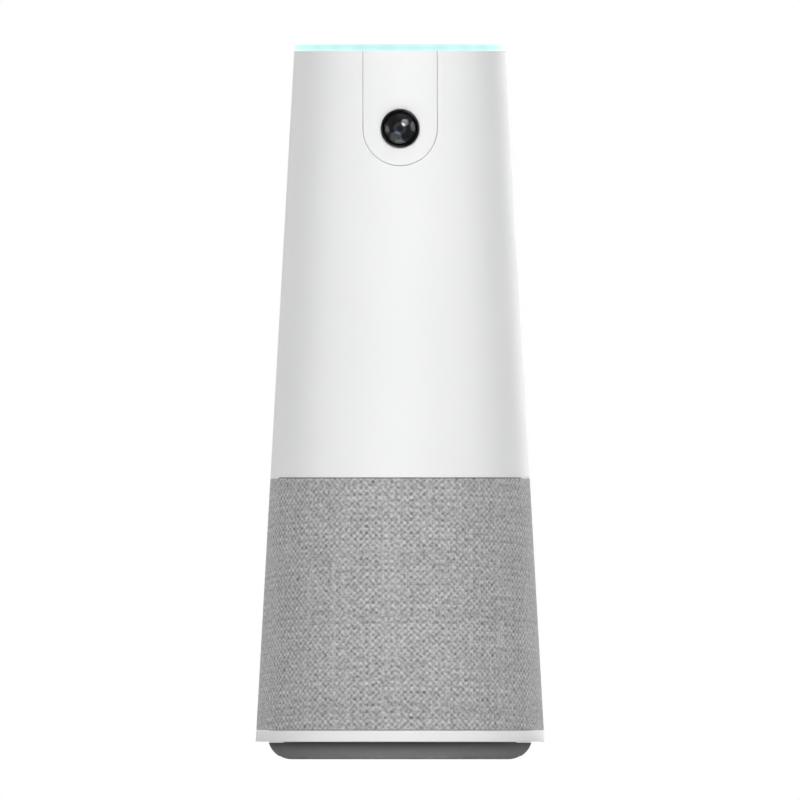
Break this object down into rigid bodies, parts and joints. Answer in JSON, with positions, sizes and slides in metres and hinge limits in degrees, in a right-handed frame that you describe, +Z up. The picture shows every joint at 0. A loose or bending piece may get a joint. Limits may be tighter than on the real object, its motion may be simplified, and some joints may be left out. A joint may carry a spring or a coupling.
{
  "type": "conference camera",
  "caption": "Tabletop conference camera: a tapered white tower with a lens, fabric speaker sleeve, lit top ring and top keys, which pans on a low round foot.",
  "frame": {"origin": "centre of the round foot, on the surface that it stands on", "axes": "+Z up along the tower; the lens looks along -Y; +X to the right in the picture"},
  "size_m": [0.109, 0.109, 0.27],
  "materials": {
    "foot_rubber": "dull black rubber",
    "dish_grey": "satin dark grey moulding",
    "inner_plastic": "black structural moulding",
    "steel": "bright steel",
    "nut_aluminium": "plain aluminium",
    "brass": "turned brass",
    "board_green": "green circuit board",
    "socket_metal": "plated sheet metal",
    "socket_black": "black moulding",
    "gear_nylon": "natural nylon",
    "cable_black": "black cable jacket",
    "grille_black": "dark grey perforated moulding",
    "grey_fabric": "light grey woven speaker cloth",
    "box_black": "black speaker box",
    "driver_metal": "black painted steel",
    "magnet": "ferrite magnet",
    "cone_paper": "black cone",
    "surround_rubber": "soft rubber surround",
    "white_shell": "satin white shell",
    "key_white": "light grey-white key cap",
    "sensor": "image sensor cover",
    "barrel_black": "black anodised barrel",
    "lens_glass": "coated lens glass",
    "bezel_black": "gloss black bezel",
    "light_guide": "frosted light guide, lit pale cyan",
    "lamp": "lamp chips"
  },
  "bodies": {
    "base": {"foot_pad": "foot_rubber", "base_dish": "dish_grey", "base_hub": "inner_plastic", "ballast_plate": "steel", "tripod_insert": "brass", "port_board": "board_green", "usb_socket": "socket_metal", "power_socket": "socket_black", "audio_socket": "socket_black", "base_screws": "steel", "sun_gear": "gear_nylon", "bearing_inner_race": "steel", "spindle_nut": "nut_aluminium", "base_cable": "cable_black"},
    "bearing_cage": {"bearing_cage": "brass", "bearing_balls": "steel"},
    "tower": {"bearing_outer_race": "steel", "turntable_deck": "inner_plastic", "trim_ring": "white_shell", "tower_screws": "steel", "pan_motor": "steel", "motor_board": "board_green", "tower_cable": "cable_black", "speaker_grille": "grille_black", "fabric_sleeve": "grey_fabric", "speaker_box": "box_black", "driver_frame": "driver_metal", "driver_magnet": "magnet", "driver_surround": "surround_rubber", "radiator_frame": "driver_metal", "radiator_surround": "surround_rubber", "speaker_screws": "steel", "upper_frame": "inner_plastic", "upper_shell": "white_shell", "main_board": "board_green", "board_chips": "socket_black", "heat_sink": "nut_aluminium", "camera_bracket": "nut_aluminium", "camera_board": "board_green", "image_sensor": "sensor", "lens_holder": "socket_black", "lens_barrel": "barrel_black", "lens_elements": "lens_glass", "front_glass": "lens_glass", "lens_bezel": "bezel_black", "camera_panel": "white_shell", "light_ring": "light_guide", "lamp_board": "board_green", "ring_lamps": "lamp", "control_board": "board_green", "microphones": "socket_metal", "top_panel": "white_shell"},
    "pinion": {"pan_pinion": "gear_nylon"},
    "cone": {"driver_cone": "cone_paper"},
    "radiator": {"radiator_plate": "cone_paper"},
    "mute_key": {"mute_key": "key_white"},
    "volume_up_key": {"volume_up_key": "key_white"},
    "volume_down_key": {"volume_down_key": "key_white"},
    "camera_key": {"camera_key": "key_white"},
    "power_key": {"power_key": "key_white"}
  },
  "joints": [
    {"name": "pan", "type": "hinge", "parent": "base", "child": "tower", "pos_m": [0, 0, 0], "axis": [0, 0, 1], "range_deg": [-165, 165]},
    {"name": "cage_roll", "type": "hinge", "parent": "base", "child": "bearing_cage", "pos_m": [0, 0, 0], "axis": [0, 0, 1], "range_deg": [-92, 92]},
    {"name": "pinion_spin", "type": "hinge", "parent": "tower", "child": "pinion", "pos_m": [0.036, 0, 0], "axis": [0, 0, 1], "range_deg": [-662, 662]},
    {"name": "cone_travel", "type": "slide", "parent": "tower", "child": "cone", "axis": [0, -1, 0], "range_m": [-0.0015, 0.0015], "stiffness_N_per_m": 1000},
    {"name": "radiator_travel", "type": "slide", "parent": "tower", "child": "radiator", "axis": [0, 1, 0], "range_m": [-0.002, 0.002], "stiffness_N_per_m": 800},
    {"name": "mute_press", "type": "slide", "parent": "tower", "child": "mute_key", "axis": [0, 0, -1], "range_m": [0, 0.0005], "stiffness_N_per_m": 400, "springref_m": -0.001},
    {"name": "volume_up_press", "type": "slide", "parent": "tower", "child": "volume_up_key", "axis": [0, 0, -1], "range_m": [0, 0.0005], "stiffness_N_per_m": 400, "springref_m": -0.001},
    {"name": "volume_down_press", "type": "slide", "parent": "tower", "child": "volume_down_key", "axis": [0, 0, -1], "range_m": [0, 0.0005], "stiffness_N_per_m": 400, "springref_m": -0.001},
    {"name": "camera_press", "type": "slide", "parent": "tower", "child": "camera_key", "axis": [0, 0, -1], "range_m": [0, 0.0005], "stiffness_N_per_m": 400, "springref_m": -0.001},
    {"name": "power_press", "type": "slide", "parent": "tower", "child": "power_key", "axis": [0, 0, -1], "range_m": [0, 0.0005], "stiffness_N_per_m": 400, "springref_m": -0.001}
  ],
  "couplings": [
    {"joint": "cage_roll", "follows": "pan", "ratio": 0.5472},
    {"joint": "pinion_spin", "follows": "pan", "ratio": 4}
  ]
}
